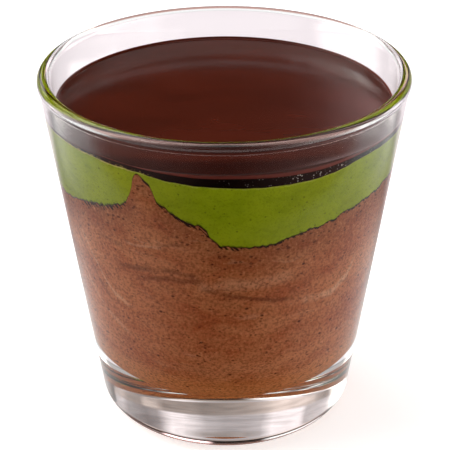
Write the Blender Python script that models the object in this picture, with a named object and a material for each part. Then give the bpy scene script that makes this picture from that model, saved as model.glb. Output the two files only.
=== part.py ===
"""A glass cup of layered chocolate and pistachio dessert.

Four solids: a thick-based clear tumbler, a chocolate mousse whose uneven top
rises to one peak beside the wall, a pistachio cream that fills it level, and a
thin dark chocolate glaze on top.  All of them are turned about the Z axis,
which is the axis of the cup.  The cup stands on Z = 0 and its front is at -Y.
"""

import math

import bmesh
import bpy
import numpy as np

MM = 0.001

# The tumbler: a straight tapered wall, a round beaded rim, and a thick base under a bowl.
HEIGHT = 76.7 * MM
FOOT_LINE_RADIUS = 26.88 * MM      # outer wall line, carried down to Z = 0
WALL_SLOPE = 0.149                 # gain in radius for each unit of height
WALL_THICKNESS = 2.45 * MM         # measured square to the wall
RIM_RADIUS = 1.34 * MM             # of the bead, flush inside and proud of the wall outside
FOOT_CORNER_RADIUS = 4.9 * MM
CAVITY_FLOOR = 9.5 * MM            # lowest point of the bowl at the cavity's bottom
CAVITY_CORNER_RADIUS = 22.0 * MM   # the bowl's, from near the axis out to the wall
GLASS_SEGMENTS = 72
CAVITY_CORNER_STEPS = 12
RIM_STEPS = 10
FOOT_CORNER_STEPS = 7
MERGE_DISTANCE = 0.01 * MM         # joins the ends of a turned section on the axis

# The layers inside it.
CLEARANCE = 0.3 * MM               # between any two solids
GLAZE_LEVEL = 69.8 * MM            # flat top of the chocolate glaze
GLAZE_MIDDLE_THICKNESS = 1.9 * MM
GLAZE_EDGE_ROUNDING = 0.25 * MM
MENISCUS_WIDTH = 1.8 * MM          # how far from the wall the glaze's top starts to curve
MENISCUS_SHARES = (0.3, 1.0)       # rings of the meniscus, as shares of its width
MOUSSE_MIDDLE_LEVEL = 58.0 * MM
MOUSSE_MIDDLE_SWELL = 1.2 * MM
SWELLS_ROUND = 2.0                 # swells of the mousse's top in one turn
SWELL_TWIST = 5.0                  # how far they turn, in radians, on the way to the wall
STEEPEST_GAP = 3.0                 # most that a slope widens the upright gap
EDGE_REACH = 3.0                   # how fast an edge's form fades to the middle
MOUSSE_DENT = 0.25 * MM            # depth of the mousse's dents at the wall
DENT_WAVES = ((7, 210.0, 0.4), (11, -330.0, 1.9), (17, 520.0, 4.1))

# Edges of the layers at the wall: azimuth from the front in degrees, and height in mm.
MOUSSE_TOP_EDGE = (
    (-150, 57.5), (-120, 55.2), (-92, 54.6), (-61, 55.8), (-43, 59.3), (-34, 61.4),
    (-28, 67.3), (-23, 62.3), (-15, 59.3), (-8, 57.9), (-2, 53.5), (7, 52.8),
    (22, 53.8), (46, 56.4), (68, 58.0), (95, 57.8), (125, 56.0), (155, 58.5),
    (180, 56.5),
)
GLAZE_BOTTOM_EDGE = (
    (-140, 68.2), (-100, 69.0), (-60, 69.5), (-45, 69.35), (-36, 69.1), (-28, 68.7),
    (-23, 68.2), (-14, 67.45), (0, 66.95), (17, 66.6), (30, 66.8), (38, 67.3),
    (47, 68.0), (58, 68.4), (90, 68.5), (140, 68.0), (180, 68.4),
)
GLAZE_TOP_EDGE = (
    (-140, 70.2), (-90, 70.2), (-41, 70.2), (-26, 69.75), (-13, 69.3), (0, 69.1),
    (20, 68.8), (30, 68.8), (40, 69.1), (57, 69.65), (90, 69.9), (140, 70.2),
    (180, 70.3),
)

COARSE_STEP = 5.0                  # degrees between sections round the cup
FINE_STEP = 2.5                    # the same where the front shows the layers
FINE_FROM = -45.0
FINE_TO = 50.0
SURFACE_RINGS = (0.16, 0.38, 0.58, 0.75, 0.87, 0.95)   # as shares of the radius
MOUSSE_SIDE_ROWS = 4
PISTACHIO_SIDE_ROWS = 2
CORNER_ROWS = 8

SLOPE_ANGLE = math.atan(WALL_SLOPE)
WALL_ACROSS = WALL_THICKNESS / math.cos(SLOPE_ANGLE)   # measured level
SHARP_ANGLE = math.radians(50)


def clear_scene():
    for old in list(bpy.data.objects):
        bpy.data.objects.remove(old, do_unlink=True)


def material(name, colour, roughness, transmission=0.0):
    made = bpy.data.materials.new(name)
    made.use_nodes = True
    shader = made.node_tree.nodes["Principled BSDF"]
    shader.inputs["Base Color"].default_value = (*colour, 1.0)
    shader.inputs["Roughness"].default_value = roughness
    shader.inputs["Metallic"].default_value = 0.0
    shader.inputs["IOR"].default_value = 1.5
    shader.inputs["Transmission Weight"].default_value = transmission
    made.diffuse_color = (*colour, 1.0)
    return made


def add_object(name, mesh, surface):
    mesh.shade_smooth()
    mesh.set_sharp_from_angle(angle=SHARP_ANGLE)
    mesh.materials.append(surface)
    made = bpy.data.objects.new(name, mesh)
    bpy.context.scene.collection.objects.link(made)
    return made


def outer_radius(height):
    return FOOT_LINE_RADIUS + WALL_SLOPE * height


def cavity_radius(height, inset=0.0):
    """Radius of the cavity at a height, drawn in by a distance square to the wall."""
    return outer_radius(height) - WALL_ACROSS - inset / math.cos(SLOPE_ANGLE)


def arc(centre, radius, start, end, steps):
    """Points of an arc in the (radius, height) plane, angles in degrees."""
    angles = np.radians(np.linspace(start, end, steps))
    return [(centre[0] + radius * math.cos(a), centre[1] + radius * math.sin(a)) for a in angles]


def corner_centre(wall_radius, floor, radius):
    """Centre of a corner arc that touches a floor and a sloping wall."""
    height = floor + radius
    return wall_radius(height) - radius / math.cos(SLOPE_ANGLE), height


def tumbler_profile():
    """Half section from the middle of the cavity floor, over the rim, to the foot.

    The arcs of the bowl and of the foot's corner touch the straight wall.  The rim's
    touches it inside and ends where it comes back to it outside.
    """
    wall_angle = -math.degrees(SLOPE_ANGLE)
    inside = arc(corner_centre(cavity_radius, CAVITY_FLOOR, CAVITY_CORNER_RADIUS),
                 CAVITY_CORNER_RADIUS, -90, wall_angle, CAVITY_CORNER_STEPS)
    rim_height = HEIGHT - RIM_RADIUS
    rim_centre = (cavity_radius(rim_height) + RIM_RADIUS / math.cos(SLOPE_ANGLE), rim_height)
    under_rim = math.degrees(math.acos((WALL_THICKNESS - RIM_RADIUS) / RIM_RADIUS))
    rim = arc(rim_centre, RIM_RADIUS, 180 + wall_angle, wall_angle - under_rim, RIM_STEPS)
    outside = arc(corner_centre(outer_radius, 0.0, FOOT_CORNER_RADIUS),
                  FOOT_CORNER_RADIUS, wall_angle, -90, FOOT_CORNER_STEPS)
    points = [(0.0, CAVITY_FLOOR)]
    points += inside
    points += rim
    points += outside
    points.append((0.0, 0.0))
    return points


def turn(name, profile, surface):
    """Spin a half section about the Z axis into a closed body."""
    shape = bmesh.new()
    verts = [shape.verts.new((r, 0.0, z)) for r, z in profile]
    edges = [shape.edges.new(pair) for pair in zip(verts, verts[1:])]
    bmesh.ops.spin(shape, geom=verts + edges, cent=(0, 0, 0), axis=(0, 0, 1),
                   steps=GLASS_SEGMENTS, angle=math.tau)
    bmesh.ops.remove_doubles(shape, verts=shape.verts[:], dist=MERGE_DISTANCE)
    bmesh.ops.recalc_face_normals(shape, faces=shape.faces[:])
    mesh = bpy.data.meshes.new(name)
    shape.to_mesh(mesh)
    shape.free()
    return add_object(name, mesh, surface)


def azimuths():
    """Angles round the cup in degrees from the front, closer where the layers show."""
    coarse = np.arange(-180.0, 180.0, COARSE_STEP)
    fine = np.arange(FINE_FROM, FINE_TO, FINE_STEP)
    return np.unique(np.concatenate([coarse, fine]))


def smooth_round(table, angles):
    """A smooth closed curve through (azimuth, value) pairs, by monotone cubics."""
    at = np.array([pair[0] for pair in table], float)
    value = np.array([pair[1] for pair in table], float) * MM
    at = np.concatenate([at[-2:] - 360, at, at[:2] + 360])
    value = np.concatenate([value[-2:], value, value[:2]])
    step = np.diff(at)
    rise = np.diff(value) / step
    slope = np.zeros_like(at)
    same_way = rise[:-1] * rise[1:] > 0
    slope[1:-1][same_way] = 2.0 / (1.0 / rise[:-1][same_way] + 1.0 / rise[1:][same_way])
    span = np.clip(np.searchsorted(at, angles, side="right") - 1, 1, len(at) - 3)
    t = (angles - at[span]) / step[span]
    start = value[span] * (1 + 2 * t) * (1 - t) ** 2
    end = value[span + 1] * t * t * (3 - 2 * t)
    leave = slope[span] * step[span] * t * (1 - t) ** 2
    arrive = slope[span + 1] * step[span] * t * t * (t - 1)
    return start + end + leave + arrive


ANGLES = azimuths()
ROUND = np.radians(ANGLES)
MOUSSE_EDGE_HEIGHT = smooth_round(MOUSSE_TOP_EDGE, ANGLES)
GLAZE_BOTTOM_HEIGHT = smooth_round(GLAZE_BOTTOM_EDGE, ANGLES)
GLAZE_TOP_HEIGHT = smooth_round(GLAZE_TOP_EDGE, ANGLES)


def ring(radius, height):
    """Points round the cup at one radius and height for each azimuth."""
    radius = np.broadcast_to(radius, ROUND.shape)
    height = np.broadcast_to(height, ROUND.shape)
    return np.stack([radius * np.sin(ROUND), -radius * np.cos(ROUND), height], axis=1)


def faded(middle, edge, share):
    """A layer's value at a share of the radius, from the middle's to the wall's."""
    weight = share ** EDGE_REACH
    return middle * (1.0 - weight) + edge * weight


def mousse_top(share):
    """Height of the mousse's top; its swells are deepest half-way out, where the fade is 1."""
    fade = 4.0 * share * (1.0 - share)
    swell = MOUSSE_MIDDLE_SWELL * np.sin(SWELLS_ROUND * ROUND + SWELL_TWIST * share) * fade
    return faded(MOUSSE_MIDDLE_LEVEL, MOUSSE_EDGE_HEIGHT, share) + swell


def glaze_bottom(share):
    return faded(GLAZE_LEVEL - GLAZE_MIDDLE_THICKNESS, GLAZE_BOTTOM_HEIGHT, share)


def grid_radius(share):
    """Radius of a surface ring, the same for both layers that meet there."""
    return share * cavity_radius(MOUSSE_EDGE_HEIGHT, CLEARANCE)


def upright_gap(surface):
    """Clearance measured upright over each ring of a surface, wider where it is steep."""
    rings = [1.0, *SURFACE_RINGS[::-1]]
    gaps = []
    for share in rings:
        height = surface(share)
        run = grid_radius(share) * np.gradient(ROUND)
        slope = np.abs(np.gradient(height) / run)
        slope = np.maximum(slope, np.maximum(np.roll(slope, 1), np.roll(slope, -1)))
        gaps.append(CLEARANCE * np.minimum(np.sqrt(1.0 + slope ** 2), STEEPEST_GAP))
    return dict(zip(rings, gaps))


def surface_rings(surface, lift):
    """Rings of a surface from beside the wall to near the axis."""
    return [ring(grid_radius(share), surface(share) + lift(share)) for share in SURFACE_RINGS[::-1]]


def dents(height):
    """Shallow dents where the mousse doesn't quite meet the glass."""
    pattern = 1.0
    for count, rise, phase in DENT_WAVES:
        pattern = pattern * np.sin(count * ROUND + rise * height + phase)
    return MOUSSE_DENT * np.abs(pattern)


def side_rows(low, high, rows, relief=None):
    """Rings up the wall from one height to another, both ends left out."""
    made = []
    for row in range(1, rows):
        height = low + (high - low) * row / rows
        inset = CLEARANCE + (relief(height) if relief else 0.0)
        made.append(ring(cavity_radius(height, inset), height))
    return made


def point(height):
    return np.array([[0.0, 0.0, height]])


def closed_body(name, under, over, surface):
    """Join rings into one closed body: under runs out from the axis, over runs up and back in.

    The triangles of an underside lean the other way, so that they lie along those of
    the layer below.
    """
    rings = under + over
    starts = np.cumsum([0] + [len(points) for points in rings])
    count = len(ROUND)
    faces = []
    for index in range(len(rings) - 1):
        below = starts[index]
        above = starts[index + 1]
        for j in range(count):
            k = (j + 1) % count
            if len(rings[index]) == 1:
                faces.append((below, above + k, above + j))
            elif len(rings[index + 1]) == 1:
                faces.append((below + j, below + k, above))
            elif index < len(under) - 1:
                faces.append((below + j, below + k, above + j))
                faces.append((below + k, above + k, above + j))
            else:
                faces.append((below + j, below + k, above + k))
                faces.append((below + j, above + k, above + j))
    mesh = bpy.data.meshes.new(name)
    mesh.from_pydata(np.concatenate(rings).tolist(), [], faces)
    mesh.validate()
    return add_object(name, mesh, surface)


def build_mousse(surface):
    floor = CAVITY_FLOOR + CLEARANCE
    centre = corner_centre(cavity_radius, CAVITY_FLOOR, CAVITY_CORNER_RADIUS)
    corner = arc(centre, CAVITY_CORNER_RADIUS - CLEARANCE, -90,
                 -math.degrees(SLOPE_ANGLE), CORNER_ROWS + 1)
    under = [point(floor), ring(0.5 * centre[0], floor)]
    under += [ring(radius, height) for radius, height in corner]
    over = side_rows(corner[-1][1], MOUSSE_EDGE_HEIGHT, MOUSSE_SIDE_ROWS, dents)
    over.append(ring(cavity_radius(MOUSSE_EDGE_HEIGHT, CLEARANCE), MOUSSE_EDGE_HEIGHT))
    over += surface_rings(mousse_top, lambda share: 0.0)
    over.append(point(MOUSSE_MIDDLE_LEVEL))
    return closed_body("chocolate_mousse", under, over, surface)


def build_pistachio(surface):
    gap = upright_gap(mousse_top)
    low = MOUSSE_EDGE_HEIGHT + gap[1.0]
    high = glaze_bottom(1.0) - CLEARANCE
    under = [point(MOUSSE_MIDDLE_LEVEL + CLEARANCE)]
    under += surface_rings(mousse_top, lambda share: gap[share])[::-1]
    under.append(ring(cavity_radius(low, CLEARANCE), low))
    over = side_rows(low, high, PISTACHIO_SIDE_ROWS)
    over.append(ring(cavity_radius(high, CLEARANCE), high))
    over += surface_rings(glaze_bottom, lambda share: -CLEARANCE)
    over.append(point(GLAZE_LEVEL - GLAZE_MIDDLE_THICKNESS - CLEARANCE))
    return closed_body("pistachio_cream", under, over, surface)


def build_glaze(surface):
    low = glaze_bottom(1.0)
    edge = cavity_radius(GLAZE_LEVEL, CLEARANCE)
    under = [point(GLAZE_LEVEL - GLAZE_MIDDLE_THICKNESS)]
    under += surface_rings(glaze_bottom, lambda share: 0.0)[::-1]
    under.append(ring(cavity_radius(low, CLEARANCE) - GLAZE_EDGE_ROUNDING, low))
    upper_low = low + GLAZE_EDGE_ROUNDING
    over = [ring(cavity_radius(upper_low, CLEARANCE), upper_low)]
    over.append(ring(cavity_radius(GLAZE_TOP_HEIGHT, CLEARANCE), GLAZE_TOP_HEIGHT))
    for share in MENISCUS_SHARES:
        height = GLAZE_LEVEL + (GLAZE_TOP_HEIGHT - GLAZE_LEVEL) * (1.0 - share) ** 3
        over.append(ring(edge - share * MENISCUS_WIDTH, height))
    over.append(ring(0.5 * edge, GLAZE_LEVEL))
    over.append(point(GLAZE_LEVEL))
    return closed_body("chocolate_glaze", under, over, surface)


def main():
    clear_scene()
    turn("glass_tumbler", tumbler_profile(), material("clear_glass", (0.93, 0.95, 0.95), 0.02, 1.0))
    build_mousse(material("mousse_brown", (0.145, 0.040, 0.016), 0.62))
    build_pistachio(material("pistachio_green", (0.120, 0.150, 0.006), 0.45))
    build_glaze(material("dark_glaze", (0.030, 0.006, 0.003), 0.12))


main()
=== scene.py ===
"""The looks of a glass cup of layered chocolate and pistachio dessert."""

import math

import bpy
import numpy as np
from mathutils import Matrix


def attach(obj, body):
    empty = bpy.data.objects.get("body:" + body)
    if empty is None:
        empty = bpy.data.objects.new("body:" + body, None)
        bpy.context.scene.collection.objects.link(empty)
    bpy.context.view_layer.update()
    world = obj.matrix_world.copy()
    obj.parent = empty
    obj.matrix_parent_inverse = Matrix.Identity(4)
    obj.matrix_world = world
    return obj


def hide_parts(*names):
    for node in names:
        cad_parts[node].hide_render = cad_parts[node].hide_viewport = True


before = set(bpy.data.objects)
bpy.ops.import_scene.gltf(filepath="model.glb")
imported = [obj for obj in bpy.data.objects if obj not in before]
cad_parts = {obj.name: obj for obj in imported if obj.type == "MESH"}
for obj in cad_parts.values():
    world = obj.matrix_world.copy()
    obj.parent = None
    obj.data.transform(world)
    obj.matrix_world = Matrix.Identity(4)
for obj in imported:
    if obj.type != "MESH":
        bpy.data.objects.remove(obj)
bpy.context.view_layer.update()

MM = 0.001
DEGREES = 180.0 / math.pi          # in one radian
scene = bpy.context.scene

# ---------------------------------------------------------------- camera

FOCAL_PIXELS = 1605.3
FRAME_PIXELS = 450.0
SENSOR = 36.0
CAMERA_BACK = 306.27 * MM
CAMERA_HEIGHT = 199.76 * MM
CAMERA_PITCH = 27.484              # degrees below level
CAMERA_ROLL = -0.276


def add_camera():
    data = bpy.data.cameras.new("camera")
    data.sensor_width = SENSOR
    data.lens = FOCAL_PIXELS / FRAME_PIXELS * SENSOR
    data.clip_start = 0.01
    made = bpy.data.objects.new("camera", data)
    made.location = (0.0, -CAMERA_BACK, CAMERA_HEIGHT)
    made.rotation_mode = "ZXY"
    made.rotation_euler = (math.radians(90.0 - CAMERA_PITCH), 0.0, math.radians(CAMERA_ROLL))
    scene.collection.objects.link(made)
    scene.camera = made


add_camera()

# ---------------------------------------------------------------- sizes shared with the solids

HEIGHT = 76.7 * MM
FOOT_LINE_RADIUS = 26.88 * MM      # outer wall line, carried down to Z = 0
WALL_SLOPE = 0.149
WALL_THICKNESS = 2.45 * MM         # measured square to the wall
RIM_RADIUS = 1.34 * MM             # of the bead, flush inside and proud of the wall outside
FOOT_CORNER_RADIUS = 4.9 * MM
CAVITY_FLOOR = 9.5 * MM            # lowest point of the bowl at the cavity's bottom
CAVITY_CORNER_RADIUS = 22.0 * MM
PUNT_DEPTH = 0.27 * MM             # of the shallow dome under the base
GLAZE_LEVEL = 69.8 * MM
MENISCUS_WIDTH = 0.5 * MM
MOUSSE_MIDDLE_LEVEL = 58.5 * MM
GLAZE_MIDDLE_BOTTOM = 68.0 * MM
SLOPE_ANGLE = math.atan(WALL_SLOPE)
WALL_ACROSS = WALL_THICKNESS / math.cos(SLOPE_ANGLE)
INTO_WALL = 0.06 * MM              # how far the food reaches into the glass
LAYER_GAP = 0.08 * MM

THINNEST_CREAM = 0.25 * MM         # over the mousse's peak

GLASS_SEGMENTS = 288
ROUND_COUNT = 960
BOWL_STEPS = 40                    # points of the glass's profile along each curve
RIM_STEPS = 32
FOOT_STEPS = 20
PUNT_STEPS = 16
FOOD_BOWL_STEPS = 30
MOUSSE_WALL_ROWS = 50
CREAM_WALL_ROWS = 30
GLAZE_WALL_ROWS = 14
LAYER_SHARES = (0.985, 0.95, 0.88, 0.75, 0.5, 0.25)    # rings of a face between two layers
MENISCUS_SHARES = (0.1, 0.2, 0.35, 0.5, 0.7, 1.0)
FLOOR_SIZE = 6.0
FLOOR_DROP = 0.2 * MM              # keeps the floor clear of the foot

# Edges of the layers at the wall: azimuth from the front in degrees, and height in mm. They follow
# the photo where it shows them, at most 62 degrees to the left and 68 to the right, and are guessed
# beyond.
MOUSSE_TOP_EDGE = (
    (-150, 57.5), (-120, 55.2), (-92, 54.6), (-75, 54.7), (-61.3, 55.75), (-53.5, 57.1),
    (-44, 58.0), (-40.5, 58.8), (-36.9, 59.7), (-34.3, 60.4), (-33.3, 61.1), (-31.9, 62.6),
    (-30.9, 64.0), (-30.4, 65.2), (-29.5, 67.2), (-27.8, 68.4), (-26.7, 67.9), (-25.7, 67.1),
    (-24.1, 66.1), (-23.5, 64.95), (-22.7, 63.5), (-22, 62.1), (-19.8, 61.7), (-17.7, 60.4),
    (-14.5, 59.2), (-11.3, 58.1), (-9.3, 57.9), (-7, 57.4), (-5.8, 56.4), (-4.8, 55.2),
    (-3.2, 54.1), (-1, 53.2), (6.7, 52.8), (13.5, 52.85), (22.1, 53.8), (29.1, 54.65),
    (35.2, 55.15), (46.3, 56.4), (57.6, 57.05), (68.1, 58.0), (95, 57.8), (125, 56.0),
    (155, 58.5), (180, 56.5),
)
GLAZE_BOTTOM_EDGE = (
    (-140, 68.2), (-100, 69.0), (-62.5, 69.7), (-58.9, 69.55), (-45.5, 69.4), (-37.6, 69.1),
    (-27.7, 68.7), (-23.3, 68.25), (-19.8, 67.8), (-13.8, 67.45), (-7.8, 67.15), (0, 66.93),
    (8.2, 66.72), (17.2, 66.62), (24.3, 66.68), (30.3, 66.8), (38.4, 67.26), (46.5, 68.03),
    (57.8, 68.36), (66.3, 68.35), (90, 68.5), (140, 68.0), (180, 68.4),
)
GLAZE_TOP_EDGE = (
    (-140, 70.2), (-90, 70.2), (-41.2, 70.25), (-33.4, 70.07), (-26.4, 69.77), (-19.8, 69.53),
    (-13.5, 69.33), (-7.4, 69.15), (0, 69.15), (20.3, 68.78), (30.5, 68.76), (38, 69.04),
    (46.5, 69.35), (56.9, 69.65), (90, 69.9), (140, 70.2), (180, 70.3),
)


def outer_radius(height):
    return FOOT_LINE_RADIUS + WALL_SLOPE * height


def cavity_radius(height, into_wall=0.0):
    return outer_radius(height) - WALL_ACROSS + into_wall / math.cos(SLOPE_ANGLE)


def arc(centre, radius, start, end, steps):
    angles = np.radians(np.linspace(start, end, steps))
    return [(centre[0] + radius * math.cos(a), centre[1] + radius * math.sin(a)) for a in angles]


def corner_centre(wall_radius, floor, radius):
    height = floor + radius
    return wall_radius(height) - radius / math.cos(SLOPE_ANGLE), height


# ---------------------------------------------------------------- node helpers

class Nodes:
    """Short calls for building a node tree."""

    def __init__(self, tree):
        self.tree = tree

    def add(self, kind, settings=None, **inputs):
        made = self.tree.nodes.new(kind)
        for name, value in (settings or {}).items():
            setattr(made, name, value)
        for name, value in inputs.items():
            self.feed(made, name, value)
        return made

    def feed(self, node, name, value):
        """Set a socket, or link to it: _2 stands for the third one, From_Min for "From Min"."""
        key = int(name[1:]) if name[0] == "_" else name.replace("_", " ")
        socket = node.inputs[key]
        if isinstance(value, bpy.types.NodeSocket):
            self.tree.links.new(value, socket)
        else:
            socket.default_value = value

    def math(self, operation, a, b=0.0, c=0.0):
        return self.add("ShaderNodeMath", {"operation": operation}, _0=a, _1=b, _2=c).outputs[0]

    def product(self, first, *others):
        for other in others:
            first = self.math("MULTIPLY", first, other)
        return first

    def noise(self, vector, scale, detail=2.0, roughness=0.5):
        return self.add("ShaderNodeTexNoise", Vector=vector, Scale=scale, Detail=detail,
                        Roughness=roughness).outputs["Fac"]

    def cells(self, vector, scale):
        """Distance to the nearest of many scattered points, and a number at random for each."""
        made = self.add("ShaderNodeTexVoronoi", Vector=vector, Scale=scale)
        chance = self.add("ShaderNodeSeparateColor", Color=made.outputs["Color"]).outputs[0]
        return made.outputs["Distance"], chance

    def split(self, vector):
        return self.add("ShaderNodeSeparateXYZ", Vector=vector).outputs

    def attribute(self, name):
        return self.add("ShaderNodeAttribute", {"attribute_name": name}).outputs["Fac"]

    def ramp(self, value, low, high, first=0.0, last=1.0, smooth=True):
        return self.add("ShaderNodeMapRange",
                        {"interpolation_type": "SMOOTHSTEP" if smooth else "LINEAR"},
                        Value=value, From_Min=low, From_Max=high, To_Min=first,
                        To_Max=last).outputs[0]

    def band(self, value, low, high, soft):
        """1 between low and high, falling to 0 over a soft edge outside each."""
        rise = self.ramp(value, low - soft, low)
        fall = self.ramp(value, high, high + soft, 1.0, 0.0)
        return self.math("MULTIPLY", rise, fall)

    def levels(self, value, points):
        """Levels from 0 to 1 read off straight lines through up to 32 (value, level) pairs."""
        low, high = points[0][0], points[-1][0]
        made = self.add("ShaderNodeValToRGB", Fac=self.ramp(value, low, high, smooth=False))
        elements = made.color_ramp.elements
        for at, _ in points[1:-1]:
            elements.new((at - low) / (high - low))
        for element, (_, level) in zip(elements, points):
            element.color = (level, level, level, 1.0)
        return made.outputs[0]

    def path(self, value, points):
        """Any result read off straight lines through a few (value, result) pairs."""
        total = points[0][1]
        for (start, first), (end, last) in zip(points, points[1:]):
            part = self.ramp(value, start, end, 0.0, last - first, smooth=False)
            total = self.math("ADD", part, total)
        return total

    def wall_angle(self, position):
        """Degrees round the cup from the front, positive to the right."""
        x, y, _ = self.split(position)
        return self.math("MULTIPLY", self.math("ARCTAN2", x, self.math("MULTIPLY", y, -1.0)),
                         DEGREES)

    def mix(self, factor, a, b, blend="MIX"):
        made = self.add("ShaderNodeMix", {"data_type": "RGBA", "blend_type": blend})
        self.feed(made, "_0", factor)
        self.feed(made, "_6", a)
        self.feed(made, "_7", b)
        return made.outputs[2]

    def scaled(self, vector, factors):
        return self.add("ShaderNodeVectorMath", {"operation": "MULTIPLY"}, _0=vector,
                        _1=factors).outputs[0]

    def joined(self, **parts):
        return self.add("ShaderNodeCombineXYZ", **parts).outputs[0]

    def bump(self, height, distance, strength):
        return self.add("ShaderNodeBump", Height=height, Distance=distance,
                        Strength=strength).outputs[0]


def new_material(name):
    made = bpy.data.materials.new(name)
    made.use_nodes = True
    tree = made.node_tree
    shader = tree.nodes["Principled BSDF"]
    position = tree.nodes.new("ShaderNodeTexCoord").outputs["Object"]
    return made, Nodes(tree), shader, position


def linear(*rgb):
    """A screen colour from 0 to 255 as linear light."""
    return tuple((v / 255 / 12.92) if v / 255 <= 0.04045 else ((v / 255 + 0.055) / 1.055) ** 2.4
                 for v in rgb) + (1.0,)


# ---------------------------------------------------------------- materials

def glass_material():
    made, nodes, shader, position = new_material("clear_glass")
    shader.inputs["Base Color"].default_value = (1.0, 1.0, 1.0, 1.0)
    shader.inputs["Transmission Weight"].default_value = 1.0
    shader.inputs["IOR"].default_value = 1.5
    shader.inputs["Roughness"].default_value = 0.0
    wave = nodes.noise(position, 60.0, 2.0)
    nodes.feed(shader, "Normal", nodes.bump(wave, 0.00004, 0.3))
    absorb = nodes.add("ShaderNodeVolumeAbsorption", Color=(0.91, 0.92, 0.905, 1.0), Density=20.0)
    output = made.node_tree.nodes["Material Output"]
    made.node_tree.links.new(absorb.outputs[0], output.inputs["Volume"])
    return made


# Painted shadow under the green's edge, a dark line between the mousse and the green: azimuth
# from the front in degrees, and how far in mm it reaches down into the mousse there.
BORDER_SHADOW_WIDTHS = (
    (-70, 0.10), (-55, 0.15), (-53, 0.65), (-34, 0.60), (-33, 0.0), (-29, 0.05), (-27, 0.25),
    (-25.5, 0.35), (-23.3, 0.25), (-22.6, 0.10), (-21.8, 0.55), (-19.8, 0.55), (-19, 0.15),
    (-18.3, 0.50), (-15, 0.45), (-12.5, 0.50), (-10.6, 0.45), (-9.8, 0.35), (-8, 0.70),
    (-5.8, 0.60), (-5, 0.20), (-3, 0.30), (-1, 0.45), (4, 0.45), (6, 0.20), (14, 0.26),
    (24, 0.30), (34, 0.16), (50, 0.24), (70, 0.20),
)

# Marks that the filling left in the mousse: lines through azimuths in degrees and heights in mm,
# the width of each in mm, and how pale (+) or dark (-) it is.
MOUSSE_MARKS = (
    (((-61, 48.5), (-55.5, 43.1), (-51, 39.5), (-46.5, 36.6), (-39.6, 35.0)), 0.90, 0.42),
    (((-68, 41.0), (-60, 34.0), (-52, 30.0), (-42, 27.5)), 1.10, 0.25),
    (((-66, 48.0), (-60, 43.0), (-55, 38.5), (-48, 34.0)), 1.20, -0.30),
    (((-36, 51.2), (-23, 51.6)), 0.60, 0.36),
    (((-41, 44.6), (-32, 45.4), (-21, 46.2), (-10, 46.0)), 0.90, -0.50),
    (((-32, 43.4), (-18, 44.4), (-8, 44.6)), 1.10, -0.50),
    (((-48.5, 50.3), (-37.6, 49.7)), 0.90, -0.36),
    (((-22, 52.4), (-14, 52.9)), 0.60, -0.50),
    (((-9, 43.0), (2, 43.6), (12, 44.0), (24, 44.6)), 2.20, 0.20),
    (((-8, 42.5), (2, 41.2), (12, 39.8), (17, 39.0), (24, 39.0)), 0.80, -0.55),
    (((30, 37.6), (38, 37.2), (44, 37.2), (51, 39.6), (54, 43.0)), 1.50, 0.50),
)


def border_shadow_reach(nodes, position):
    """How far the painted shadow, a dark broken line, reaches down from the top edge of the mousse,
    in mm.
    """
    angle = nodes.wall_angle(position)
    height = nodes.split(position)[2]
    # dashes about a degree apart, which lean over to the left as they rise
    leaning = nodes.math("MULTIPLY_ADD", height, 1500.0, angle)
    place = nodes.joined(X=leaning, Z=nodes.math("MULTIPLY", height, 500.0))
    dashes = nodes.ramp(nodes.noise(place, 0.95, 2.0, 0.6), 0.42, 0.56, 0.15, 1.75)
    return nodes.math("MULTIPLY", nodes.levels(angle, BORDER_SHADOW_WIDTHS), dashes)


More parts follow.
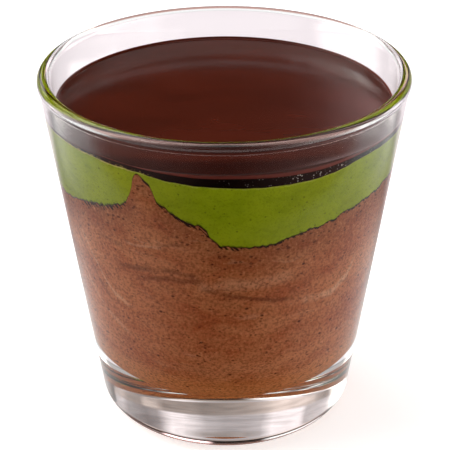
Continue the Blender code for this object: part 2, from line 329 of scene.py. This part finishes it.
def mousse_material():
    made, nodes, shader, position = new_material("mousse")
    x, y, z = nodes.split(position)
    # its streaks sag towards the middle of the front
    aside = nodes.math("SUBTRACT", x, 0.005)
    bowed = nodes.math("SUBTRACT", z, nodes.product(aside, aside, 6.0))
    warp = nodes.math("SUBTRACT", nodes.noise(position, 140.0, 3.0), 0.5)
    bowed = nodes.math("ADD", bowed, nodes.math("MULTIPLY", warp, 0.006))
    lines = nodes.joined(X=x, Y=y, Z=bowed)
    broad = nodes.noise(nodes.scaled(lines, (35.0, 35.0, 150.0)), 1.0, 3.0, 0.55)
    fine = nodes.noise(nodes.scaled(lines, (110.0, 110.0, 800.0)), 1.0, 2.0, 0.5)
    cloud = nodes.noise(position, 260.0, 3.0, 0.6)
    grain = nodes.noise(position, 1750.0, 2.0, 0.65)
    base = nodes.mix(nodes.ramp(broad, 0.34, 0.66), linear(190, 100, 56), linear(218, 138, 90))
    base = nodes.mix(nodes.ramp(cloud, 0.35, 0.7, 0.0, 0.28), base, linear(224, 154, 102))
    base = nodes.mix(nodes.ramp(fine, 0.62, 0.76, 0.0, 0.25), base, linear(244, 188, 146))
    base = nodes.mix(nodes.ramp(fine, 0.38, 0.24, 0.0, 0.25), base, linear(138, 68, 36))
    # single marks, which fade out from 2 degrees inside each end to 2 degrees beyond it
    angle = nodes.wall_angle(position)
    height = nodes.math("MULTIPLY_ADD", z, 1 / MM, nodes.math("MULTIPLY", warp, 2.0))
    for points, width, tone in MOUSSE_MARKS:
        off_line = nodes.math("SUBTRACT", height, nodes.path(angle, points))
        off_line = nodes.math("ABSOLUTE", off_line)
        mark = nodes.product(nodes.band(angle, points[0][0] + 2, points[-1][0] - 2, 4.0),
                             nodes.ramp(off_line, width, 0.1), nodes.ramp(cloud, 0.2, 0.55),
                             abs(tone))
        colour = linear(252, 206, 166) if tone > 0 else linear(92, 38, 16)
        base = nodes.mix(mark, base, colour)
    # painted light just above the bowl, warmer and paler where light comes up through the thick
    # base; darker and more porous under the green
    painted_low_light = nodes.ramp(z, 0.0215, 0.0150)
    base = nodes.mix(nodes.math("MULTIPLY", painted_low_light, 0.45), base, linear(244, 160, 88))
    depth = nodes.math("MULTIPLY", nodes.attribute("above_mousse"), -1.0)
    upper = nodes.ramp(depth, 10.0, 1.0)
    base = nodes.mix(nodes.math("MULTIPLY", upper, 0.34), base, linear(122, 48, 16))
    # pores
    flat = nodes.scaled(position, (1.0, 1.0, 1.35))
    distance, chance = nodes.cells(flat, 1000.0)
    reach = nodes.ramp(chance, 0.40, 1.0, 0.04, 0.38, smooth=False)
    reach = nodes.math("MULTIPLY", reach, nodes.ramp(upper, 0.0, 1.0, 0.85, 1.25))
    pore = nodes.ramp(nodes.math("SUBTRACT", distance, reach), 0.04, -0.10)
    pit = nodes.ramp(nodes.cells(flat, 270.0)[0], 0.13, 0.06)
    dark = nodes.math("MAXIMUM", nodes.math("MULTIPLY", pore, 0.68),
                      nodes.math("MULTIPLY", pit, 0.90))
    base = nodes.mix(dark, base, linear(70, 22, 5))
    base = nodes.mix(nodes.ramp(grain, 0.55, 0.34, 0.0, 0.48), base, linear(108, 46, 18))
    base = nodes.mix(nodes.ramp(grain, 0.57, 0.78, 0.0, 0.40), base, linear(250, 188, 132))
    # painted shadow: the dark broken line along the top edge
    past = nodes.math("SUBTRACT", depth, border_shadow_reach(nodes, position))
    crevice_shadow = nodes.ramp(past, 0.08, -0.06)
    base = nodes.mix(nodes.math("MULTIPLY", crevice_shadow, 0.92), base, linear(26, 10, 3))
    nodes.feed(shader, "Base Color", base)
    nodes.feed(shader, "Roughness", 0.6)
    nodes.feed(shader, "Specular IOR Level", 0.0)
    relief = nodes.math("SUBTRACT", nodes.math("MULTIPLY", grain, 0.4), dark)
    nodes.feed(shader, "Normal", nodes.bump(relief, 0.0002, 0.5))
    return made


def pistachio_material():
    made, nodes, shader, position = new_material("pistachio")
    cloud = nodes.noise(position, 120.0, 3.0, 0.55)
    mottle = nodes.noise(nodes.scaled(position, (1.0, 1.0, 1.6)), 420.0, 3.0, 0.6)
    grain = nodes.noise(position, 2400.0, 2.0, 0.6)
    base = nodes.mix(nodes.ramp(cloud, 0.35, 0.65), linear(156, 173, 16), linear(172, 188, 22))
    base = nodes.mix(nodes.ramp(mottle, 0.35, 0.65, 0.0, 0.4), base, linear(180, 196, 30))
    base = nodes.mix(nodes.ramp(mottle, 0.46, 0.28, 0.0, 0.25), base, linear(134, 150, 3))
    base = nodes.mix(nodes.ramp(grain, 0.50, 0.30, 0.0, 0.35), base, linear(110, 128, 0))
    speck = nodes.ramp(nodes.cells(position, 560.0)[0], 0.17, 0.06)
    base = nodes.mix(nodes.math("MULTIPLY", speck, 0.5), base, linear(74, 84, 0))
    # painted shade: a darker seam where it meets the mousse
    reach = nodes.math("MULTIPLY", border_shadow_reach(nodes, position), 0.35)
    seam_shade = nodes.math("SUBTRACT", nodes.attribute("above_mousse"), reach)
    seam_shade = nodes.ramp(seam_shade, 0.20, 0.06)
    base = nodes.mix(nodes.math("MULTIPLY", seam_shade, 0.55), base, linear(46, 42, 2))
    # a pale uneven line under the glaze, stronger at the left
    below = nodes.math("MULTIPLY", nodes.attribute("above_glaze_edge"), -1.0)
    uneven = nodes.ramp(nodes.noise(position, 1500.0, 2.0, 0.6), 0.35, 0.7, 0.05, 0.35)
    line = nodes.product(nodes.ramp(nodes.math("SUBTRACT", below, uneven), 0.18, 0.0),
                         nodes.ramp(nodes.wall_angle(position), -22.0, -36.0, 0.25, 0.85))
    base = nodes.mix(line, base, linear(226, 214, 120))
    nodes.feed(shader, "Base Color", base)
    nodes.feed(shader, "Roughness", 0.5)
    nodes.feed(shader, "Specular IOR Level", 0.0)
    nodes.feed(shader, "Normal", nodes.bump(grain, 0.00012, 0.5))
    return made


def glaze_material():
    made, nodes, shader, position = new_material("glaze")
    cloud = nodes.noise(nodes.scaled(position, (1.0, 2.2, 1.0)), 60.0, 3.0, 0.5)
    base = nodes.mix(nodes.ramp(cloud, 0.3, 0.7), linear(72, 25, 12), linear(82, 30, 16))
    # painted shade: the top is darker towards the front wall
    front = nodes.ramp(nodes.split(position)[1], -20 * MM, -27 * MM, 0.0, 0.75)
    base = nodes.mix(front, base, linear(40, 9, 4))
    # its side behind the glass is painted nearly black as shade, with bubbles at the right that
    # carry painted glints, and crumbs at the left
    above = nodes.attribute("above_glaze_edge")
    below_line = nodes.math("MULTIPLY", nodes.attribute("above_glaze_line"), -1.0)
    to_wall = nodes.attribute("to_wall")
    side = nodes.product(nodes.ramp(to_wall, 0.10, 0.03), nodes.ramp(below_line, 0.05, 0.40))
    base = nodes.mix(nodes.math("MULTIPLY", side, 0.96), base, linear(12, 3, 2))
    angle = nodes.wall_angle(position)
    distance, chance = nodes.cells(position, 2300.0)
    clusters = nodes.noise(position, 420.0, 2.0, 0.5)
    # bubbles, painted pale as glints
    bubble_glint = nodes.product(nodes.ramp(distance, 0.42, 0.22), nodes.ramp(chance, 0.35, 0.60),
                           nodes.ramp(clusters, 0.40, 0.52), side, nodes.ramp(above, 0.1, 0.35),
                           nodes.band(angle, 2.0, 62.0, 6.0),
                           nodes.ramp(angle, 2.0, 32.0, 0.25, 0.9))
    base = nodes.mix(bubble_glint, base, linear(206, 196, 188))
    crumb = nodes.product(nodes.ramp(distance, 0.60, 0.35), nodes.ramp(chance, 0.25, 0.45),
                          side, nodes.ramp(above, 0.55, 0.15),
                          nodes.band(angle, -60.0, -26.0, 5.0), 0.8)
    base = nodes.mix(crumb, base, linear(196, 172, 92))
    # a redder line where its top meets the glass: a painted reflection along the meniscus
    rim = nodes.product(nodes.ramp(to_wall, 0.34, 0.12), nodes.ramp(below_line, 0.20, 0.05))
    base = nodes.mix(nodes.math("MULTIPLY", rim, 0.8), base, linear(120, 42, 26))
    nodes.feed(shader, "Base Color", base)
    nodes.feed(shader, "Roughness", nodes.ramp(rim, 0.0, 1.0, 0.16, 0.50))
    nodes.feed(shader, "Specular IOR Level", 0.22)
    nodes.feed(shader, "Specular Tint", nodes.mix(side, (1, 1, 1, 1), (0, 0, 0, 1)))
    ripple = nodes.noise(nodes.scaled(position, (1.0, 0.5, 1.0)), 60.0, 3.0)
    nodes.feed(shader, "Normal", nodes.bump(ripple, 0.0003, 0.2))
    return made


def floor_material():
    made, nodes, shader, position = new_material("floor")
    cloud = nodes.noise(position, 4.0, 2.0)
    nodes.feed(shader, "Base Color", nodes.mix(cloud, (0.86, 0.86, 0.86, 1), (0.88, 0.88, 0.88, 1)))
    nodes.feed(shader, "Roughness", 0.7)
    nodes.feed(shader, "Specular IOR Level", 0.0)
    # lit up to white
    nodes.feed(shader, "Emission Color", (1, 1, 1, 1))
    nodes.feed(shader, "Emission Strength", 0.62)
    return made


# ---------------------------------------------------------------- shapes

def add_piece(name, mesh, material, node):
    mesh.shade_smooth()
    mesh.materials.append(material)
    made = bpy.data.objects.new(name, mesh)
    scene.collection.objects.link(made)
    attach(made, "root")
    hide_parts(node)


def tumbler_profile():
    wall_angle = -math.degrees(SLOPE_ANGLE)
    inside = arc(corner_centre(cavity_radius, CAVITY_FLOOR, CAVITY_CORNER_RADIUS),
                 CAVITY_CORNER_RADIUS, -90, wall_angle, BOWL_STEPS)
    rim_height = HEIGHT - RIM_RADIUS
    rim_centre = (cavity_radius(rim_height) + RIM_RADIUS / math.cos(SLOPE_ANGLE), rim_height)
    under_rim = math.degrees(math.acos((WALL_THICKNESS - RIM_RADIUS) / RIM_RADIUS))
    rim = arc(rim_centre, RIM_RADIUS, 180 + wall_angle, wall_angle - under_rim, RIM_STEPS)
    outside = arc(corner_centre(outer_radius, 0.0, FOOT_CORNER_RADIUS),
                  FOOT_CORNER_RADIUS, wall_angle, -90, FOOT_STEPS)
    shares = (0.0, 0.25, 0.5, 0.75)
    points = [(share * inside[0][0], CAVITY_FLOOR) for share in shares]
    points += inside
    for share in shares[1:]:
        height = inside[-1][1] + (rim[0][1] - inside[-1][1]) * share
        points.append((cavity_radius(height), height))
    points += rim
    for share in shares[:0:-1]:
        height = outside[0][1] + (rim[-1][1] - outside[0][1]) * share
        points.append((outer_radius(height), height))
    points += outside
    for share in np.linspace(1, 0, PUNT_STEPS + 1)[1:]:
        points.append((share * outside[-1][0], PUNT_DEPTH * (1 - share ** 2) ** 2))
    return points


def build_tumbler():
    angles = np.linspace(0, math.tau, GLASS_SEGMENTS, endpoint=False)
    rings = []
    for radius, height in tumbler_profile():
        if radius < 1e-9:
            rings.append(point(height))
        else:
            rings.append(np.stack([radius * np.sin(angles), -radius * np.cos(angles),
                                   np.full_like(angles, height)], axis=1))
    # the profile runs up inside and down outside, so it is reversed to face out
    mesh = skin("tumbler", rings[::-1])
    add_piece("tumbler", mesh, glass_material(), "glass_tumbler")


def skin(name, rings):
    """Join rings of points, from the bottom up and in over the top, into one closed mesh."""
    starts = np.cumsum([0] + [len(points) for points in rings])
    faces = []
    for index in range(len(rings) - 1):
        a, b = starts[index], starts[index + 1]
        count = max(len(rings[index]), len(rings[index + 1]))
        for j in range(count):
            k = (j + 1) % count
            if len(rings[index]) == 1:
                faces.append((a, b + k, b + j))
            elif len(rings[index + 1]) == 1:
                faces.append((a + j, a + k, b))
            else:
                faces.append((a + j, a + k, b + k, b + j))
    mesh = bpy.data.meshes.new(name)
    mesh.from_pydata(np.concatenate(rings).tolist(), [], faces)
    mesh.validate()
    return mesh


ANGLES = np.linspace(-180.0, 180.0, ROUND_COUNT, endpoint=False)
ROUND = np.radians(ANGLES)


def smooth_round(table, angles):
    """A smooth closed curve through (azimuth, value) pairs, by monotone cubics."""
    at = np.array([pair[0] for pair in table], float)
    value = np.array([pair[1] for pair in table], float) * MM
    at = np.concatenate([at[-2:] - 360, at, at[:2] + 360])
    value = np.concatenate([value[-2:], value, value[:2]])
    step = np.diff(at)
    rise = np.diff(value) / step
    slope = np.zeros_like(at)
    same_way = rise[:-1] * rise[1:] > 0
    slope[1:-1][same_way] = 2.0 / (1.0 / rise[:-1][same_way] + 1.0 / rise[1:][same_way])
    span = np.clip(np.searchsorted(at, angles, side="right") - 1, 1, len(at) - 3)
    t = (angles - at[span]) / step[span]
    start = value[span] * (1 + 2 * t) * (1 - t) ** 2
    end = value[span + 1] * t * t * (3 - 2 * t)
    leave = slope[span] * step[span] * t * (1 - t) ** 2
    arrive = slope[span + 1] * step[span] * t * t * (t - 1)
    return start + end + leave + arrive


def round_noise(cells, seed):
    """Smooth noise from -1 to 1 round the cup, with this many cells in one turn."""
    values = np.random.default_rng(seed).uniform(-1, 1, cells)
    place = (ANGLES + 180.0) / 360.0 * cells
    cell = np.floor(place).astype(int)
    part = place - cell
    part = part * part * (3 - 2 * part)
    return values[cell % cells] * (1 - part) + values[(cell + 1) % cells] * part


def ring(radius, height):
    radius = np.broadcast_to(radius, ROUND.shape)
    height = np.broadcast_to(height, ROUND.shape)
    return np.stack([radius * np.sin(ROUND), -radius * np.cos(ROUND), height], axis=1)


def point(height):
    return np.array([[0.0, 0.0, height]])


# where the mousse's edge is more ragged than elsewhere: two stretches, each with soft ends
RAGGED = np.interp(ANGLES, (-56, -53, -35, -33, -23, -20, -6, -3), (0, 1, 1, 0, 0, 1, 1, 0))
MOUSSE_TOP = (smooth_round(MOUSSE_TOP_EDGE, ANGLES)
              + 0.20 * MM * round_noise(110, 3) + 0.16 * MM * round_noise(260, 4)
              + 0.12 * MM * round_noise(430, 6) + 0.22 * MM * round_noise(300, 7) * RAGGED)
GLAZE_LOW = smooth_round(GLAZE_BOTTOM_EDGE, ANGLES) + 0.08 * MM * round_noise(120, 5)
GLAZE_LINE = smooth_round(GLAZE_TOP_EDGE, ANGLES)
MOUSSE_TOP = np.minimum(MOUSSE_TOP, GLAZE_LOW - THINNEST_CREAM)


def mark(mesh, name, measure):
    """Store a number for each vertex, in mm, worked out from its angle, radius and height."""
    places = np.empty(3 * len(mesh.vertices))
    mesh.vertices.foreach_get("co", places)
    x, y, height = places.reshape(-1, 3).T
    values = measure(np.degrees(np.arctan2(x, -y)), np.hypot(x, y), height) / MM
    mesh.attributes.new(name, "FLOAT", "POINT").data.foreach_set("value", values)


def above(curve):
    """Measure for mark(): how far a place is above a curve round the cup."""
    return lambda angle, radius, height: height - np.interp(angle, ANGLES, curve, period=360)


def wall_rings(low, high, rows):
    """Rings up the wall between two heights, both of them left out."""
    made = []
    for row in range(1, rows):
        height = low + (high - low) * row / rows
        made.append(ring(cavity_radius(height, INTO_WALL), height))
    return made


def surface_rings(edge, middle, lift=0.0):
    """Rings of a layer's top or bottom, from beside the wall to near the axis."""
    made = []
    for share in LAYER_SHARES:
        height = edge * share ** 3 + middle * (1 - share ** 3) + lift
        made.append(ring(share * cavity_radius(edge), height))
    return made


def build_mousse():
    floor = CAVITY_FLOOR - INTO_WALL
    centre = corner_centre(cavity_radius, CAVITY_FLOOR, CAVITY_CORNER_RADIUS)
    bowl = arc(centre, CAVITY_CORNER_RADIUS + INTO_WALL, -90, -math.degrees(SLOPE_ANGLE),
               FOOD_BOWL_STEPS)
    rings = [point(floor), ring(0.5 * centre[0], floor)]
    rings += [ring(radius, height) for radius, height in bowl]
    rings += wall_rings(bowl[-1][1], MOUSSE_TOP, MOUSSE_WALL_ROWS)
    rings.append(ring(cavity_radius(MOUSSE_TOP, INTO_WALL), MOUSSE_TOP))
    rings += surface_rings(MOUSSE_TOP, MOUSSE_MIDDLE_LEVEL)
    rings.append(point(MOUSSE_MIDDLE_LEVEL))
    mesh = skin("mousse", rings)
    mark(mesh, "above_mousse", above(MOUSSE_TOP))
    add_piece("mousse", mesh, mousse_material(), "chocolate_mousse")


def build_pistachio():
    low = MOUSSE_TOP + LAYER_GAP
    high = GLAZE_LOW - LAYER_GAP
    rings = [point(MOUSSE_MIDDLE_LEVEL + LAYER_GAP)]
    rings += surface_rings(MOUSSE_TOP, MOUSSE_MIDDLE_LEVEL, LAYER_GAP)[::-1]
    rings.append(ring(cavity_radius(low, INTO_WALL), low))
    rings += wall_rings(low, high, CREAM_WALL_ROWS)
    rings.append(ring(cavity_radius(high, INTO_WALL), high))
    rings += surface_rings(GLAZE_LOW, GLAZE_MIDDLE_BOTTOM, -LAYER_GAP)
    rings.append(point(GLAZE_MIDDLE_BOTTOM - LAYER_GAP))
    mesh = skin("pistachio", rings)
    mark(mesh, "above_mousse", above(MOUSSE_TOP))
    mark(mesh, "above_glaze_edge", above(GLAZE_LOW))
    add_piece("pistachio", mesh, pistachio_material(), "pistachio_cream")


def build_glaze():
    rings = [point(GLAZE_MIDDLE_BOTTOM)]
    rings += surface_rings(GLAZE_LOW, GLAZE_MIDDLE_BOTTOM)[::-1]
    rings.append(ring(cavity_radius(GLAZE_LOW, INTO_WALL), GLAZE_LOW))
    rings += wall_rings(GLAZE_LOW, GLAZE_LINE, GLAZE_WALL_ROWS)
    rings.append(ring(cavity_radius(GLAZE_LINE, INTO_WALL), GLAZE_LINE))
    edge = cavity_radius(GLAZE_LINE)
    for share in MENISCUS_SHARES:
        height = GLAZE_LEVEL + (GLAZE_LINE - GLAZE_LEVEL) * (1 - share) ** 3
        rings.append(ring(edge - share * MENISCUS_WIDTH, height))
    for share in (0.85, 0.6, 0.3):
        rings.append(ring(share * cavity_radius(GLAZE_LEVEL), GLAZE_LEVEL))
    rings.append(point(GLAZE_LEVEL))
    mesh = skin("glaze", rings)
    mark(mesh, "above_glaze_edge", above(GLAZE_LOW))
    mark(mesh, "above_glaze_line", above(GLAZE_LINE))
    mark(mesh, "to_wall", lambda angle, radius, height: cavity_radius(height) - radius)
    add_piece("glaze", mesh, glaze_material(), "chocolate_glaze")


# ---------------------------------------------------------------- stage and light

def add_floor():
    """A white floor, which lights nothing and is neither mirrored nor seen through the glass."""
    bpy.ops.mesh.primitive_grid_add(x_subdivisions=8, y_subdivisions=8, size=FLOOR_SIZE)
    floor = bpy.context.object
    floor.name = "floor"
    floor.location.z = -FLOOR_DROP
    floor.data.materials.append(floor_material())
    floor.visible_glossy = False
    floor.visible_diffuse = False
    floor.visible_transmission = False


# The levels of all the light below were fitted to how the glass looks in the photo, then rounded.
# Light from below, which the outer wall mirrors: its level by degrees from the front.
UNDER_LIGHT = (
    (0, 0.02), (20, 0.06), (38, 0.18), (53, 0.27), (68, 0.42), (83, 0.44), (98, 0.58),
    (113, 0.64), (128, 0.78), (143, 0.86), (158, 0.95), (173, 1.0), (180, 1.0),
)

# Soft panels: where each starts and ends in degrees to the right of straight behind the cup, how
# soft those ends are, its lowest and highest rise above level, their softness, and its light.
PANELS = (
    # the pale sweep behind the cup, brighter in the middle
    (-92, 92, 12, -26, -6, 5, (0.39, 0.354, 0.366)),
    (-50, 50, 25, -26, -6, 5, (0.58, 0.53, 0.55)),
    # in front, below the camera
    (140, 180, 22, -16, 12, 8, (0.95, 0.95, 0.95)),
    (-180, -140, 22, -16, 12, 8, (0.95, 0.95, 0.95)),
    # large boxes at both sides
    (-104, -62, 14, -8, 34, 8, (3.7, 3.5, 3.3)),
    (94, 126, 16, -8, 18, 7, (2.5, 2.4, 2.3)),
    (60, 92, 12, -8, 16, 6, (4.2, 4.0, 3.8)),
    (100, 145, 10, 20, 32, 4, (1.1, 1.1, 1.1)),
    # behind the cup at both sides, and two small ones above them
    (26, 60, 6, 0, 18, 3, (0.5, 0.48, 0.48)),
    (-60, -26, 6, 0, 18, 3, (0.5, 0.48, 0.48)),
    (-38, -16, 5, 17, 23, 3, (1.5, 1.45, 1.45)),
    (7.5, 20, 4, 18, 24, 3, (3.2, 2.2, 2.2)),
    # what the base gathers when it is seen from the sides and from behind
    (78, 180, 14, 30, 39, 4, (0.36, 0.34, 0.33)),
    (-180, -78, 14, 30, 39, 4, (0.36, 0.34, 0.33)),
    # above
    (-118, -22, 16, 44, 60, 7, (2.4, 2.35, 2.35)),
    (-180, 180, 1, 74, 90, 12, (1.2, 1.16, 1.16)),
)

# Light that the thick base gathers through its corner, in three bands one above the other: the
# level of each by degrees to the right of straight behind the cup. The base shows left and right
# swapped.
BASE_LOW = (
    (-60, 0.60), (-52, 0.40), (-46, 0.26), (-39, 0.42), (-33, 0.74), (-22, 0.85), (-17, 0.72),
    (-12, 0.46), (-7, 0.34), (0, 0.28), (7, 0.23), (12, 0.32), (19, 0.32), (23, 0.30),
    (27, 0.54), (32, 0.56), (36, 0.28), (43, 0.36), (52, 0.56), (60, 0.50),
)
BASE_HIGH = (
    (-60, 0.55), (-50, 0.68), (-40, 0.50), (-34, 0.44), (-30, 0.88), (-17, 0.88), (-13, 0.48),
    (-7, 0.41), (0, 0.37), (7, 0.42), (11, 0.62), (15, 0.88), (20, 0.85), (24, 0.57),
    (27, 0.27), (33, 0.20), (38, 0.24), (46, 0.31), (52, 0.57), (60, 0.46),
)
BASE_TOP = (
    (-60, 0.30), (-22, 0.46), (-14, 0.34), (0, 0.30), (11, 0.42), (15, 0.85), (19, 0.85),
    (24, 0.28), (60, 0.28),
)


def add_world():
    """A studio of soft panels, seen by reflection and through the glass."""
    world = bpy.data.worlds.new("studio")
    world.use_nodes = True
    nodes = Nodes(world.node_tree)
    direction = nodes.add("ShaderNodeTexCoord").outputs["Generated"]
    x, y, z = nodes.split(direction)
    rise = nodes.math("MULTIPLY", nodes.math("ARCSINE", z), DEGREES)
    right = nodes.math("MULTIPLY", nodes.math("ARCTAN2", x, y), DEGREES)
    from_front = nodes.math("SUBTRACT", 180.0, nodes.math("ABSOLUTE", right))

    under = nodes.levels(from_front, UNDER_LIGHT)
    # less of it where the top of the wall mirrors it, which is 13.5 degrees higher at the back
    turned = nodes.math("MULTIPLY_ADD", from_front, -13.5 / 180.0, rise)
    under = nodes.math("MULTIPLY", under, nodes.ramp(turned, -39.5, -45.0, 0.22, 1.0))
    # dimmer and browner steeply below
    under = nodes.mix(nodes.ramp(rise, -44.0, -50.0), under, (0.62, 0.38, 0.34, 1.0), "MULTIPLY")
    total = nodes.mix(nodes.ramp(rise, -26.0, -31.0), (0.01, 0.01, 0.01, 1.0), under)
    for left, far, side_soft, low, high, soft, light in PANELS:
        share = nodes.math("MULTIPLY", nodes.band(right, left, far, side_soft),
                           nodes.band(rise, low, high, soft))
        total = nodes.mix(share, total, light + (1.0,), "ADD")

    # the base's light has level streaks and wavy sides
    streaks = nodes.noise(nodes.scaled(direction, (4.0, 4.0, 90.0)), 1.0, 2.0, 0.6)
    streaks = nodes.ramp(streaks, 0.3, 0.7, 0.82, 1.18)
    wave = nodes.math("MULTIPLY_ADD", nodes.noise(direction, 9.0, 2.0), 5.0, -2.5)
    wavy = nodes.math("ADD", right, wave)
    for points, low, high, light in (
            (BASE_LOW, 30.0, 32.6, (1.2, 0.98, 0.90, 1.0)),
            (BASE_HIGH, 33.6, 37.8, (1.35, 1.2, 1.22, 1.0)),
            (BASE_TOP, 38.8, 44.0, (1.0, 0.80, 0.68, 1.0))):
        share = nodes.product(nodes.levels(wavy, points), nodes.band(rise, low, high, 1.0),
                              streaks, nodes.band(right, -58.0, 58.0, 4.0))
        total = nodes.mix(share, total, light, "ADD")
    nodes.feed(world.node_tree.nodes["Background"], "Color", total)
    world.cycles.sampling_method = "MANUAL"
    world.cycles.sample_map_resolution = 1024
    scene.world = world


build_tumbler()
build_mousse()
build_pistachio()
build_glaze()
add_floor()
add_world()

scene.view_settings.view_transform = "Standard"
scene.cycles.use_denoising = True
scene.cycles.max_bounces = 16
scene.cycles.transmission_bounces = 16
scene.cycles.transparent_max_bounces = 8
